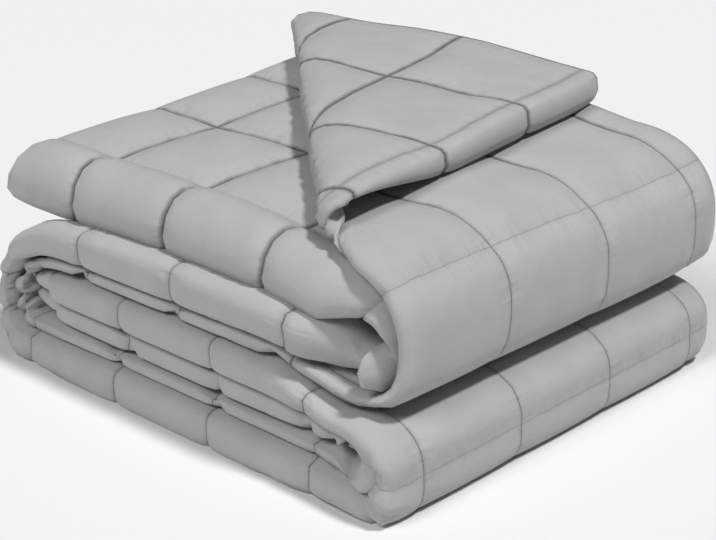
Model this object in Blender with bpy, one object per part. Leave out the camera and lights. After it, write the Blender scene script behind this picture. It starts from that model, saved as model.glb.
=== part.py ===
"""Weighted blanket, quilted in squares and folded into a block, with one corner turned back.

The blanket is one closed solid. It is first folded across its width, front to back, into four
pads that make one long strip: pads A1 and A2 meet in fold A at the front, A2 and B1 in the back
fold, B1 and B2 in fold B at the front. The strip is then folded along its length into four runs
that lie on each other: run 1 on top, a turn at the right, run 2, a turn at the left, run 3 on the
floor, a turn at the right, and run 4 tucked in between runs 2 and 3. The front left corner of
pads A1 and A2 is turned back over run 1.

Metres, +Z up. X runs along the strip, the front is at -Y, and the blanket stands on Z = 0 with
its origin under the middle of its box.
"""

import bmesh
import bpy
import numpy as np

NAME = "folded_blanket"
COLLECTION = "weighted_blanket"
CLOTH_COLOR = (0.42, 0.42, 0.42, 1.0)
CLOTH_ROUGHNESS = 0.85

# ---- Flat blanket ----
SQUARE = 0.122
BORDER = 0.033
SQUARES_LONG = 17
SQUARES_WIDE = 14
HEM = BORDER / SQUARE
WIDTH = SQUARES_WIDE * SQUARE + 2 * BORDER
END = SQUARES_LONG + HEM

# ---- Folds across the width ----
# Where the back fold and fold B lie on the flat cloth, measured from the hem of pad A1.
FOLD_BACK = 0.884
FOLD_B = 1.330
# How deep in the block the hems of pads A1 and B2 and the back fold lie.
HEM_A_DEPTH = 0.437
HEM_B_DEPTH = 0.447
BACK_DEPTH = 0.4435
# How far a fold reaches past its flat pads: the front folds by their height, within two limits.
BACK_BULGE = 0.022
FRONT_BULGE = (0.009, 0.026)
BULGE_PER_HEIGHT = 1.15
# A fold's section: 1 is round, less is squarer.
FOLD_SQUARE = 0.8

# ---- The strip's four runs, in a frame with X = 0 at the right end and Y = 0 at the front ----
# "at" is a place along the strip, in squares from its first stitched border. The three heights
# are those of the strip's A face, its middle and its B face. The floor flattens what lies below 0.
RUN_1 = (
    # at, x, a_face, middle, b_face
    (1.00, -0.402, 0.2250, 0.2000, 0.1535),
    (2.00, -0.280, 0.2245, 0.1995, 0.1580),
    (3.00, -0.158, 0.2090, 0.1880, 0.1595),
    (3.50, -0.095, 0.2070, 0.1870, 0.1600),
)
RUN_2 = (
    # at, x, a_face, middle, b_face
    (4.80, -0.072, 0.0800, 0.1010, 0.1320),
    (5.10, -0.140, 0.1035, 0.1170, 0.1560),
    (6.00, -0.250, 0.1040, 0.1170, 0.1560),
    (7.00, -0.372, 0.1040, 0.1160, 0.1530),
    (7.20, -0.396, 0.1035, 0.1150, 0.1505),
)
RUN_3 = (
    # at, x, a_face, middle, b_face
    (9.00, -0.456, 0.0460, 0.0330, -0.0030),
    (10.00, -0.334, 0.0465, 0.0350, -0.0030),
    (11.00, -0.212, 0.0465, 0.0350, -0.0030),
    (12.00, -0.090, 0.0460, 0.0340, -0.0030),
    (12.20, -0.068, 0.0455, 0.0310, -0.0025),
)
RUN_4 = (
    # at, x, a_face, middle, b_face
    (13.75, -0.066, 0.0490, 0.0640, 0.0780),
    (14.00, -0.096, 0.0490, 0.0680, 0.0880),
    (14.40, -0.145, 0.0490, 0.0700, 0.1015),
    (15.00, -0.205, 0.0485, 0.0700, 0.1025),
    (16.00, -0.324, 0.0485, 0.0700, 0.1025),
    (17.00, -0.430, 0.0495, 0.0695, 0.0960),
    (END, -0.453, 0.0560, 0.0690, 0.0840),
)
# Each turn ends one run and starts the next: where its nose is along the strip, how square its
# first and its second quarter are (1 is round, less is squarer), and the nose of the A face, the
# middle and the B face as (x, z).
TURN_1_2 = (4.45, 0.95, 0.6, (-0.009, 0.137), (-0.031, 0.136), (-0.051, 0.138))
TURN_2_3 = (8.15, 1.0, 0.55, (-0.464, 0.072), (-0.485, 0.066), (-0.508, 0.055))
TURN_3_4 = (13.00, 0.8, 0.9, (-0.045, 0.047), (-0.021, 0.039), (0.000, 0.036))
# The end of run 1 droops into a nose: the tips of its middle and B face as (x, z), how square the
# nose is, and how much of pad A's hem still reaches outwards.
NOSE_TIPS = ((-0.509, 0.152), (-0.505, 0.141))
NOSE_SQUARE = 0.6
HEM_REACH = 0.4

# How far fold A and fold B stand back from the front, and where fold A lies on the flat cloth, as
# rows of (at, metres).
SET_BACK_A = (
    (-HEM, 0.045),
    (0.0, 0.022),
    (0.5, 0.018),
    (3.1, 0.018),
    (3.65, 0.040),
    (4.4, 0.040),
    (4.9, 0.018),
    (5.3, 0.010),
    (12.0, 0.011),
    (13.0, 0.028),
    (13.8, 0.012),
    (16.8, 0.012),
    (END, 0.022),
)
SET_BACK_B = (
    (-HEM, 0.030),
    (0.0, 0.014),
    (0.5, 0.002),
    (3.4, 0.002),
    (4.35, 0.026),
    (4.9, 0.004),
    (12.2, 0.001),
    (13.0, 0.014),
    (13.8, 0.006),
    (16.8, 0.007),
    (END, 0.018),
)
FOLD_A = (
    (-HEM, 0.503),
    (3.0, 0.503),
    (3.65, 0.397),
    (END, 0.397),
)

# Pads A1 and A2 lie loose on pad B1 at the left of run 1: their height together, and where along
# the strip they come to lie close.
LOOSE_PADS = 0.024
LOOSE_AT = (2.0, 3.0)

# Behind the front folds of the inner runs the pads even out: over which depth, and from where.
EVEN_DEPTH = (0.03, 0.22)
EVEN_FROM = (4.3, 5.0)

# ---- Corner turned back ----
# The corner folds over a line from its tip near the right turn to its far end at the back left.
FLAP_TIP = (-0.084, 0.020)
FLAP_FAR = (-0.530, 0.428)
# The roll at that line: its two radii, and the length of cloth that it takes up.
FLAP_ROLL_WIDE = 0.0190
FLAP_ROLL_HIGH = 0.0130
FLAP_TURN = 0.078
# Past the roll the flap settles over this length, and its far edges lie a little higher.
FLAP_SETTLE = 0.10
FLAP_LIFT = (0.002, 0.015)
FLAP_LIFTED_AT = (0.02, 0.16)
# Only the part of the strip before this place is turned back, and its last stretch is the tip.
FLAP_END = 3.65
TIP_CROWDING = 1.0
TIP_CROWDED_AT = (2.0, 3.2)

# ---- Quilting ----
# How much of the room between its neighbours the cloth fills: along a seam, along a seam where it
# is pulled taut round a turn, at the hem, at the front folds, and on the crown of a square, which
# starts this share of a square away from the seam.
SEAM_PUFF = 0.45
SEAM_PUFF_TAUT = 0.72
HEM_PUFF = 0.30
FRONT_PUFF = 0.75
CROWN_PUFF = 0.90
CROWN_AT = 0.17
TAUT_TURNS = ((3.9, 4.9), (12.4, 13.7))
TAUT_EASE = 0.3

# ---- Mesh ----
CHANNEL = CROWN_AT * SQUARE
# Where each square has a row of points along the strip, in parts of the square.
SQUARE_ROWS = (0.0, 0.17, 0.83)
OTHER_ROWS = {
    0: (0.0, 0.35, 0.8),
    1: (0.0, 0.17, 0.5, 0.83),
    2: (0.0, 0.17, 0.5, 0.83),
    3: (0.0, 0.15, 0.3, 0.42, 0.54, 0.66, 0.82),
    4: (0.0, 0.25, 0.5, 0.75),
    5: (0.0, 0.5),
    6: (0.0, 0.5),
    7: (0.0, 0.35, 0.7),
    8: (0.0, 0.15, 0.5, 0.8),
    12: (0.0, 0.3, 0.65),
    13: (0.0, 0.3, 0.65),
    14: (0.0, 0.5),
    15: (0.0, 0.5),
    16: (0.0, 0.5),
}
# Columns of points across each pad, and across each fold in parts of its bulge.
PAD_COLUMNS = 10
PAD_COLUMNS_B2 = 11
FOLD_COLUMNS = (-1.0, -0.4, 0.4)
# The middle of the block's underside.
BLOCK_CENTRE = (-0.26755, 0.23105, 0.0)


def smooth(low, high, value):
    """A soft step from 0 at low to 1 at high."""
    t = np.clip((value - low) / (high - low), 0.0, 1.0)
    return t * t * (3.0 - 2.0 * t)


def mix(first, second, share):
    return first + (second - first) * share


def read(table, at):
    """The table's value at each place, with its second column read linearly."""
    places, values = zip(*table)
    return np.interp(at, places, values)


def run_track(run, column, at):
    """A run's (x, z) points on the track of one of its height columns, with level ends."""
    places = np.array([row[0] for row in run])
    points = np.array([(row[1], row[column]) for row in run])
    steps = np.diff(points, axis=0) / np.diff(places)[:, None]
    slopes = np.zeros_like(points)
    product = steps[:-1] * steps[1:]
    total = np.where(product > 0, steps[:-1] + steps[1:], 1.0)
    slopes[1:-1] = np.where(product > 0, 2 * product / total, 0.0)
    slopes[0] = steps[0] * (1.0, 0.0)
    slopes[-1] = steps[-1] * (1.0, 0.0)
    index = np.clip(np.searchsorted(places, at, side="right") - 1, 0, len(places) - 2)
    width = (places[index + 1] - places[index])[:, None]
    t = (at - places[index])[:, None] / width
    return (
        (2 * t**3 - 3 * t**2 + 1) * points[index]
        + (t**3 - 2 * t**2 + t) * slopes[index] * width
        + (3 * t**2 - 2 * t**3) * points[index + 1]
        + (t**3 - t**2) * slopes[index + 1] * width
    )


def quarter(level_end, upright_end, share, square):
    """A quarter turn from the end that heads along X to the end that heads along Z."""
    angle = np.clip(share, 0.0, 1.0)[:, None] * np.pi / 2
    out = np.sin(angle) ** square
    up = np.cos(angle) ** square
    x = level_end[0] + (upright_end[0] - level_end[0]) * out
    z = upright_end[1] + (level_end[1] - upright_end[1]) * up
    return np.concatenate([x, z], axis=1)


def track(face, at):
    """The strip's (x, z) at each place, on its A face (0), its middle (1) or its B face (2)."""
    column = face + 2
    path = np.zeros((len(at), 2))
    for run in (RUN_1, RUN_2, RUN_3, RUN_4):
        inside = (at >= run[0][0]) & (at <= run[-1][0])
        path[inside] = run_track(run, column, at[inside])
    for before, turn, after in (
        (RUN_1, TURN_1_2, RUN_2),
        (RUN_2, TURN_2_3, RUN_3),
        (RUN_3, TURN_3_4, RUN_4),
    ):
        nose_at, first, second = turn[:3]
        nose = turn[3 + face]
        start_at, end_at = before[-1][0], after[0][0]
        start = (before[-1][1], before[-1][column])
        end = (after[0][1], after[0][column])
        inside = (at > start_at) & (at <= nose_at)
        path[inside] = quarter(start, nose, (at[inside] - start_at) / (nose_at - start_at), first)
        inside = (at > nose_at) & (at < end_at)
        path[inside] = quarter(end, nose, (end_at - at[inside]) / (end_at - nose_at), second)
    first_at = RUN_1[0][0]
    inside = at < first_at
    start = (RUN_1[0][1], RUN_1[0][column])
    if face == 0:
        hem = HEM_REACH * np.maximum(-at[inside], 0.0)
        out = SQUARE * (first_at - np.maximum(at[inside], 0.0) + hem)
        path[inside] = np.stack([start[0] - out, np.full(len(out), start[1])], axis=1)
    else:
        share = (first_at - at[inside]) / (first_at + HEM)
        path[inside] = quarter(start, NOSE_TIPS[face - 1], share, NOSE_SQUARE)
    return path


def tracks(at, depth):
    """The A face, the middle as pads A and pads B meet it, and the B face, as (x, z) points."""
    a_face = track(0, at)
    middle = track(1, at)
    b_face = track(2, at)
    even = (smooth(*EVEN_FROM, at) * smooth(*EVEN_DEPTH, depth))[:, None]
    middle = mix(middle, (a_face + b_face) / 2, even)
    loose = (1.0 - smooth(*LOOSE_AT, at))[:, None]
    lifted = a_face - (0.0, LOOSE_PADS)
    return a_face, mix(middle, lifted, loose), middle, b_face


def puff(at, across):
    """The cloth's fullness, 1 where it fills the room between its neighbours."""
    along_cell = np.abs(at - np.round(at))
    squares_across = (across - BORDER) / SQUARE
    across_cell = np.abs(squares_across - np.round(squares_across))
    crown = np.clip(along_cell / CROWN_AT, 0, 1) * np.clip(across_cell / CROWN_AT, 0, 1)
    taut = np.zeros_like(at)
    for start, end in TAUT_TURNS:
        rise = smooth(start, start + TAUT_EASE, at)
        taut = np.maximum(taut, rise * (1 - smooth(end - TAUT_EASE, end, at)))
    seam = mix(SEAM_PUFF, SEAM_PUFF_TAUT, taut)
    full = mix(seam, CROWN_PUFF, np.sin(crown * np.pi / 2))
    border = (at < 0) | (at > SQUARES_LONG) | (across < BORDER) | (across > WIDTH - BORDER)
    return np.where(border, HEM_PUFF, full)


def bulge(face, middle):
    """How far a front fold reaches past its pads, from the two tracks that its pads lie between."""
    height = np.linalg.norm(middle - face, axis=1)
    return np.clip(height / 2 * BULGE_PER_HEIGHT, *FRONT_BULGE)


def fold_cloth(at, across, side, fullness):
    """Where points of the flat blanket lie in the block. side is 1 on the face that shows outside
    at fold A and fold B, and -1 on the other."""
    a_front, middle_a_front, middle_b_front, b_front = tracks(at, np.zeros_like(at))
    bulge_a = bulge(a_front, middle_a_front)
    bulge_b = bulge(b_front, middle_b_front)
    fold_a = read(FOLD_A, at)
    front_a = read(SET_BACK_A, at) + bulge_a
    front_b = read(SET_BACK_B, at) + bulge_b
    back = BACK_DEPTH - BACK_BULGE

    # Depth of the flat stretches, each read between the fold or hem at its two ends.
    length_a2 = FOLD_BACK - BACK_BULGE - fold_a - bulge_a
    length_b1 = FOLD_B - bulge_b - FOLD_BACK - BACK_BULGE
    pad_a1 = mix(HEM_A_DEPTH, front_a, across / (fold_a - bulge_a))
    pad_a2 = mix(front_a, back, (across - fold_a - bulge_a) / length_a2)
    pad_b1 = mix(back, front_b, (across - FOLD_BACK - BACK_BULGE) / length_b1)
    pad_b2 = mix(front_b, HEM_B_DEPTH, (across - FOLD_B - bulge_b) / (WIDTH - FOLD_B - bulge_b))
    near_a = across < (fold_a + FOLD_BACK) / 2
    near_b = across > (FOLD_B + FOLD_BACK) / 2
    near_back = ~(near_a | near_b)

    centre = np.where(near_a, fold_a, np.where(near_b, FOLD_B, FOLD_BACK))
    half = np.where(near_a, bulge_a, np.where(near_b, bulge_b, BACK_BULGE))
    swing = np.clip((across - centre) / half, -1.0, 1.0) * np.pi / 2
    before = across < centre
    depth_a = np.maximum(np.where(before, pad_a1, pad_a2), front_a)
    depth_b = np.maximum(np.where(before, pad_b1, pad_b2), front_b)
    depth_back = np.minimum(np.where(before, pad_a2, pad_b1), back)
    flat_depth = np.where(near_a, depth_a, np.where(near_b, depth_b, depth_back))

    # Through the fold: reach is the distance from the fold's centre, 1 at the outer face.
    outside = np.where(near_back, -side, side)
    filled = np.where(near_back, fullness, np.maximum(fullness, FRONT_PUFF * np.cos(swing)))
    reach = 0.5 + 0.5 * outside * filled
    direction = np.where(near_back, 1.0, -1.0)
    depth = flat_depth + direction * half * reach * np.cos(swing) ** FOLD_SQUARE

    a_face, middle_a, middle_b, b_face = tracks(at, flat_depth)
    lane = np.where(near_a, 1.0, np.where(near_b, 3.0, 2.0))
    upper = lane_point(lane - reach, near_b, a_face, middle_a, middle_b, b_face)
    lower = lane_point(lane + reach, ~near_a, a_face, middle_a, middle_b, b_face)
    turned = (np.sign(swing) * np.abs(np.sin(swing)) ** FOLD_SQUARE + 1) / 2
    place = mix(upper, lower, turned[:, None])
    points = np.stack([place[:, 0], depth, place[:, 1]], axis=1)

    lifted = np.where(near_a, 1.0, np.where(near_back, (1 - np.sin(swing)) / 2, 0.0))
    lifted = np.where(at < RUN_2[0][0], lifted, 0.0)
    return turn_corner_back(points, lifted, (a_face + middle_a)[:, 1] / 2)


def lane_point(lane, in_b, a_face, middle_a, middle_b, b_face):
    """A point of the stack: lane 0 is the A face, 2 the middle and 4 the B face."""
    in_a_part = mix(a_face, middle_a, np.clip(lane / 2, 0, 1)[:, None])
    in_b_part = mix(middle_b, b_face, np.clip(lane / 2 - 1, 0, 1)[:, None])
    return np.where(in_b[:, None], in_b_part, in_a_part)


def turn_corner_back(points, lifted, centre_height):
    """Rolls what lies in front of the flap's fold line up, over and back onto run 1."""
    tip = np.array(FLAP_TIP)
    along = np.array(FLAP_FAR) - tip
    along /= np.linalg.norm(along)
    ahead = np.array((along[1], -along[0])) * np.sign(along[0])
    start = tip - ahead * (FLAP_ROLL_WIDE + LOOSE_PADS / 2)
    offset = points[:, :2] - start
    c = offset @ along
    d = offset @ ahead
    above = points[:, 2] - centre_height
    angle = np.pi * np.clip(d / FLAP_TURN, 0, 1)
    past = np.maximum(d - FLAP_TURN, 0)
    shift = (FLAP_ROLL_WIDE - above) * np.sin(angle) - past
    xy = start + c[:, None] * along + shift[:, None] * ahead
    rolled = centre_height + FLAP_ROLL_HIGH - (FLAP_ROLL_HIGH - above) * np.cos(angle)
    lift = mix(FLAP_LIFT[0], FLAP_LIFT[1], smooth(*FLAP_LIFTED_AT, past))
    rest = surface_height(xy[:, 0]) + lift + LOOSE_PADS / 2 - above
    z = mix(rolled, rest, smooth(0.0, FLAP_SETTLE, past))
    moved = np.concatenate([xy, z[:, None]], axis=1)
    share = (lifted * (d > 0))[:, None]
    return mix(points, moved, share)


def surface_height(x):
    """Height of pad A1's top in run 1."""
    places = [row[1] for row in RUN_1]
    heights = [row[2] for row in RUN_1]
    return np.interp(x, places, heights)


def strip_rows():
    """Places along the strip where the mesh has a row of points."""
    rows = [-HEM, -HEM / 2]
    for square in range(SQUARES_LONG):
        rows += [square + step for step in OTHER_ROWS.get(square, SQUARE_ROWS)]
    return np.array(rows + [SQUARES_LONG, END])


def pad_columns(start, end, count, channels=True):
    """A pad's columns: at its ends and its seams, then beside the seams, then in wide gaps."""
    seams = BORDER + SQUARE * np.arange(SQUARES_WIDE + 1)
    inside = [seam for seam in seams if start + CHANNEL / 2 < seam < end - CHANNEL / 2]
    columns = sorted([start, end] + inside)
    beside = [seam + step for step in (-CHANNEL, CHANNEL) for seam in inside if channels]
    for column in beside:
        room = min(abs(column - other) for other in columns)
        if len(columns) <= count and room > CHANNEL / 2 and start < column < end:
            columns.append(column)
    columns.sort()
    while len(columns) <= count:
        widest = int(np.argmax(np.diff(columns)))
        columns.insert(widest + 1, (columns[widest] + columns[widest + 1]) / 2)
    return columns[:-1]


def rolled_columns(at, fold_a, bulge_a):
    """Columns of pads A1 and A2 where they roll over as one: back to back, and closer to fold A
    towards the flap's tip."""
    start = fold_a + bulge_a
    length = FOLD_BACK - BACK_BULGE - start
    crowd = TIP_CROWDING * smooth(*TIP_CROWDED_AT, at)
    shares = (np.array(pad_columns(start, start + length, PAD_COLUMNS, channels=False)) - start) / length
    shares = shares ** (1 + crowd)
    front = float(read(SET_BACK_A, at)) + bulge_a
    depth = mix(front, BACK_DEPTH - BACK_BULGE, shares[:0:-1])
    pad_a1 = (fold_a - bulge_a) * (HEM_A_DEPTH - depth) / (HEM_A_DEPTH - front)
    return [0.0] + list(pad_a1), list(start + length * shares)


def row_columns(at):
    """Places across the blanket where a row has its points."""
    a_face, middle_a, middle_b, b_face = tracks(np.array([at]), np.zeros(1))
    bulge_a = float(bulge(a_face, middle_a)[0])
    bulge_b = float(bulge(b_face, middle_b)[0])
    fold_a = float(read(FOLD_A, at))
    if at < FLAP_END:
        pad_a1, pad_a2 = rolled_columns(at, fold_a, bulge_a)
    else:
        pad_a1 = pad_columns(0.0, fold_a - bulge_a, PAD_COLUMNS)
        pad_a2 = pad_columns(fold_a + bulge_a, FOLD_BACK - BACK_BULGE, PAD_COLUMNS)
    pad_b1 = pad_columns(FOLD_BACK + BACK_BULGE, FOLD_B - bulge_b, PAD_COLUMNS)
    pad_b2 = pad_columns(FOLD_B + bulge_b, WIDTH, PAD_COLUMNS_B2)
    at_a = [fold_a + bulge_a * step for step in FOLD_COLUMNS]
    at_back = [FOLD_BACK + BACK_BULGE * step for step in FOLD_COLUMNS]
    at_b = [FOLD_B + bulge_b * step for step in FOLD_COLUMNS]
    return np.array(pad_a1 + at_a + pad_a2 + at_back + pad_b1 + at_b + pad_b2 + [WIDTH])


def cloth_grid():
    """The flat places of the mesh points, as two arrays of rows by columns."""
    rows = strip_rows()
    across = np.array([row_columns(at) for at in rows])
    at = np.repeat(rows[:, None], across.shape[1], axis=1)
    return at, across


def skin_faces(grid, outward):
    """Two triangles for each cell of one side. The cells of pad A1 are split the other way, so
    that on both pads of the flap the splits run along its fold line."""
    rows, columns = grid.shape
    for i in range(rows - 1):
        for j in range(columns - 1):
            a, b, c, d = grid[i, j], grid[i + 1, j], grid[i + 1, j + 1], grid[i, j + 1]
            on_a1 = j <= PAD_COLUMNS + len(FOLD_COLUMNS)
            for ring in ((a, b, c), (a, c, d)) if on_a1 else ((a, b, d), (b, c, d)):
                yield ring if outward else ring[::-1]


def rim_faces(front, back):
    """The hem's edge, all round the cloth."""
    rows, columns = front.shape
    rim = [(i, 0) for i in range(rows)]
    rim += [(rows - 1, j) for j in range(1, columns)]
    rim += [(i, columns - 1) for i in range(rows - 2, -1, -1)]
    rim += [(0, j) for j in range(columns - 2, 0, -1)]
    for here, there in zip(rim, rim[1:] + rim[:1]):
        yield front[there], front[here], back[here], back[there]


def build_mesh():
    at, across = cloth_grid()
    fullness = puff(at.ravel(), across.ravel())
    mesh = bmesh.new()
    sides = []
    for side in (1, -1):
        points = fold_cloth(at.ravel(), across.ravel(), side, fullness) - BLOCK_CENTRE
        points[:, 2] = np.maximum(points[:, 2], 0.0)
        verts = np.empty(len(points), dtype=object)
        verts[:] = [mesh.verts.new(point) for point in points]
        sides.append(verts.reshape(at.shape))
    for grid, outward in zip(sides, (True, False)):
        for ring in skin_faces(grid, outward):
            mesh.faces.new(ring)
    for ring in rim_faces(*sides):
        mesh.faces.new(ring)
    bmesh.ops.recalc_face_normals(mesh, faces=mesh.faces)
    data = bpy.data.meshes.new(NAME)
    mesh.to_mesh(data)
    mesh.free()
    return data


def cloth_material():
    material = bpy.data.materials.new("grey_cloth")
    material.use_nodes = True
    shader = material.node_tree.nodes["Principled BSDF"]
    shader.inputs["Base Color"].default_value = CLOTH_COLOR
    shader.inputs["Roughness"].default_value = CLOTH_ROUGHNESS
    shader.inputs["Metallic"].default_value = 0.0
    return material


def main():
    for old in list(bpy.data.objects):
        bpy.data.objects.remove(old, do_unlink=True)
    collection = bpy.data.collections.new(COLLECTION)
    bpy.context.scene.collection.children.link(collection)
    data = build_mesh()
    data.materials.append(cloth_material())
    data.shade_smooth()
    blanket = bpy.data.objects.new(NAME, data)
    collection.objects.link(blanket)


if __name__ == "__main__":
    main()
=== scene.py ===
"""Weighted blanket, quilted in squares and folded into a block, with one corner turned back.

The cloth is one closed mesh: a fine grid over both faces of the flat blanket, taken through the
same folds as its CAD solid, with a pillow in each square, tucks and creases. Its seam lines,
stitches, puckers and weave are in its material, with painted shade in and beside the seams'
grooves. Metres, +Z up.
"""

import bpy
import numpy as np
from mathutils import Matrix, Vector


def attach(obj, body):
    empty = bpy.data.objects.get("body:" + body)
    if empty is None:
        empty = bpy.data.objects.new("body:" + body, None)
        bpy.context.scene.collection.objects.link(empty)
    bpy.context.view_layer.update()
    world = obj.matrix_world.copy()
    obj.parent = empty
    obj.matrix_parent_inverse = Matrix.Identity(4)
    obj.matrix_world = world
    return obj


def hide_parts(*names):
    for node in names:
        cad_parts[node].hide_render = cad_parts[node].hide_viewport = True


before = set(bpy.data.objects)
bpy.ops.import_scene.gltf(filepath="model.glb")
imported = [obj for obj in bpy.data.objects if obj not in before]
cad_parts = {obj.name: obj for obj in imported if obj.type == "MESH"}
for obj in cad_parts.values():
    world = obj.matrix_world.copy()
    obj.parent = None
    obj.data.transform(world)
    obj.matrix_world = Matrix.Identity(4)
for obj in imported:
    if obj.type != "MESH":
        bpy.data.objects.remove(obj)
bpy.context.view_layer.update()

# ---- Flat blanket ----
# A place on the flat cloth is (at, across): at counts squares along the strip from its first seam,
# and across is in metres from the edge of pad A1.
SQUARE = 0.122
BORDER = 0.033
SQUARES_LONG = 17
SQUARES_WIDE = 14
HEM = BORDER / SQUARE
WIDTH = SQUARES_WIDE * SQUARE + 2 * BORDER
END = SQUARES_LONG + HEM

# ---- Folds across the width: pads A1, A2, B1 and B2, with folds A and B at the front ----
# The back fold's place across the cloth, how far behind the front pad A's hem, pad B's hem and the
# back fold's outermost point lie, how far that fold bulges past its flat pads, and how round it is.
FOLD_BACK = 0.884
HEM_A_DEPTH = 0.443
HEM_B_DEPTH = 0.428
BACK_DEPTH = 0.4435
BACK_BULGE = 0.022
BACK_ROUND = 0.80

# ---- The strip's four runs, with X = 0 at the block's right end and Z = 0 on the floor ----
# The A face is the one on pad A1's side, the B face the one on pad B2's, and the middle is where
# pads A meet pads B. Each has its own height at each place along the strip.
RUN_1 = (
    # at, x, a_face, middle, b_face
    (1.00, -0.404, 0.2250, 0.2035, 0.1535),
    (2.00, -0.280, 0.2260, 0.2060, 0.1580),
    (3.00, -0.158, 0.2130, 0.2010, 0.1585),
    (3.50, -0.095, 0.2090, 0.1900, 0.1570),
)
RUN_2 = (
    # at, x, a_face, middle, b_face
    (4.72, -0.052, 0.0830, 0.0950, 0.1330),
    (4.90, -0.094, 0.0950, 0.1060, 0.1480),
    (5.10, -0.138, 0.1035, 0.1170, 0.1550),
    (6.00, -0.250, 0.1040, 0.1170, 0.1570),
    (7.00, -0.372, 0.1040, 0.1160, 0.1540),
    (7.20, -0.396, 0.1035, 0.1150, 0.1505),
)
RUN_3 = (
    # at, x, a_face, middle, b_face
    (9.00, -0.456, 0.0460, 0.0330, -0.0060),
    (10.00, -0.334, 0.0465, 0.0350, -0.0060),
    (11.00, -0.212, 0.0465, 0.0350, -0.0060),
    (12.00, -0.090, 0.0460, 0.0340, -0.0060),
    (12.20, -0.068, 0.0455, 0.0310, -0.0060),
)
RUN_4 = (
    # at, x, a_face, middle, b_face
    (13.75, -0.066, 0.0490, 0.0640, 0.0780),
    (14.00, -0.096, 0.0490, 0.0680, 0.0880),
    (14.40, -0.145, 0.0490, 0.0700, 0.1015),
    (15.00, -0.205, 0.0485, 0.0700, 0.1025),
    (16.00, -0.324, 0.0485, 0.0700, 0.1025),
    (17.00, -0.430, 0.0495, 0.0695, 0.0960),
    (END, -0.467, 0.0540, 0.0690, 0.0880),
)
# The turn between two runs: its nose's place along the strip, how round the turn is before the nose
# and after it (1 is round, less is squarer), and the nose's (x, z) on the A face, the middle and
# the B face.
TURN_1_2 = (4.40, 0.90, 0.65, (-0.009, 0.137), (-0.027, 0.134), (-0.043, 0.144))
TURN_2_3 = (8.15, 1.0, 0.60, (-0.466, 0.072), (-0.483, 0.066), (-0.502, 0.058))
TURN_3_4 = (13.00, 0.5, 0.75, (-0.046, 0.050), (-0.020, 0.043), (0.000, 0.036))
# Run 1's left end: the (x, z) at which its middle and its B face end, how round they turn to there,
# and the share of the hem that still reaches outwards on its A face.
NOSE_TIPS = ((-0.516, 0.147), (-0.516, 0.134))
NOSE_ROUND = 0.58
HEM_REACH = 0.1

# Fold A and fold B along the strip: how far they stand back from the front, how far they bulge past
# their flat pads, and how round their section is (1 is round, less is squarer).
FRONT_A = (
    # at, set back, bulge, roundness
    (-HEM, 0.045, 0.012, 0.80),
    (0.0, 0.022, 0.012, 0.75),
    (0.5, 0.018, 0.012, 0.70),
    (3.1, 0.018, 0.012, 0.70),
    (3.65, 0.036, 0.016, 1.00),
    (4.4, 0.036, 0.018, 1.00),
    (4.9, 0.016, 0.010, 0.60),
    (5.3, 0.010, 0.009, 0.60),
    (12.0, 0.011, 0.009, 0.60),
    (12.5, 0.008, 0.014, 0.80),
    (13.0, 0.004, 0.016, 0.90),
    (13.5, 0.010, 0.014, 0.80),
    (13.9, 0.012, 0.012, 0.60),
    (16.8, 0.012, 0.012, 0.60),
    (END, 0.022, 0.012, 0.80),
)
FRONT_B = (
    # at, set back, bulge, roundness, droop of its foremost part
    (-HEM, 0.034, 0.034, 0.90, 0.004),
    (0.0, 0.027, 0.038, 0.90, 0.010),
    (0.6, 0.023, 0.040, 0.85, 0.012),
    (3.4, 0.020, 0.040, 0.85, 0.012),
    (3.9, 0.030, 0.034, 0.90, 0.006),
    (4.3, 0.034, 0.030, 1.00, 0.000),
    (4.55, 0.046, 0.024, 1.00, 0.000),
    (4.64, 0.012, 0.028, 0.90, 0.000),
    (4.80, 0.030, 0.024, 0.80, 0.000),
    (5.0, 0.004, 0.023, 0.65, 0.000),
    (8.0, 0.002, 0.023, 0.60, 0.000),
    (12.2, 0.002, 0.023, 0.60, 0.000),
    (12.7, 0.000, 0.024, 0.60, 0.000),
    (13.2, 0.000, 0.022, 0.70, 0.000),
    (13.8, 0.004, 0.019, 0.60, 0.000),
    (16.8, 0.005, 0.019, 0.60, 0.000),
    (END, 0.018, 0.016, 0.90, 0.000),
)
# Behind run 2's front the B faces of runs 1 and 2 lie this much lower, as rows of (at, metres),
# in a trough at this depth that reaches this far.
TROUGH = (
    (-HEM, 0.000),
    (0.4, 0.013),
    (3.5, 0.013),
    (4.3, 0.000),
    (4.8, 0.000),
    (5.3, 0.013),
    (7.4, 0.013),
    (8.1, 0.000),
)
TROUGH_DEPTH = 0.057
TROUGH_REACH = 0.022
# Where fold A and fold B lie on the flat cloth, as rows of (at, metres).
FOLD_A = (
    (-HEM, 0.503),
    (3.0, 0.503),
    (3.65, 0.390),
    (4.4, 0.390),
    (5.0, 0.379),
    (END, 0.379),
)
FOLD_B = (
    (-HEM, 1.309),
    (3.4, 1.309),
    (4.35, 1.330),
    (END, 1.330),
)
# Wherever fold A is, pad A1 lies as if it were this wide, from its hem up to the second place
# across. From there it eases into its own width at the fold.
PAD_A1 = 0.378
PAD_A1_EASE = 0.25
# Pads A are together this thick where their corner is turned back, easing off between these places
# along the strip.
LOOSE_PADS = 0.021
LOOSE_AT = (2.0, 3.0)
# From the upper turn on, pads A and pads B grow equally thick behind the front, easing in between
# these places along the strip and these depths.
EVEN_FROM = (4.3, 5.0)
EVEN_DEPTH = (0.03, 0.22)

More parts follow.
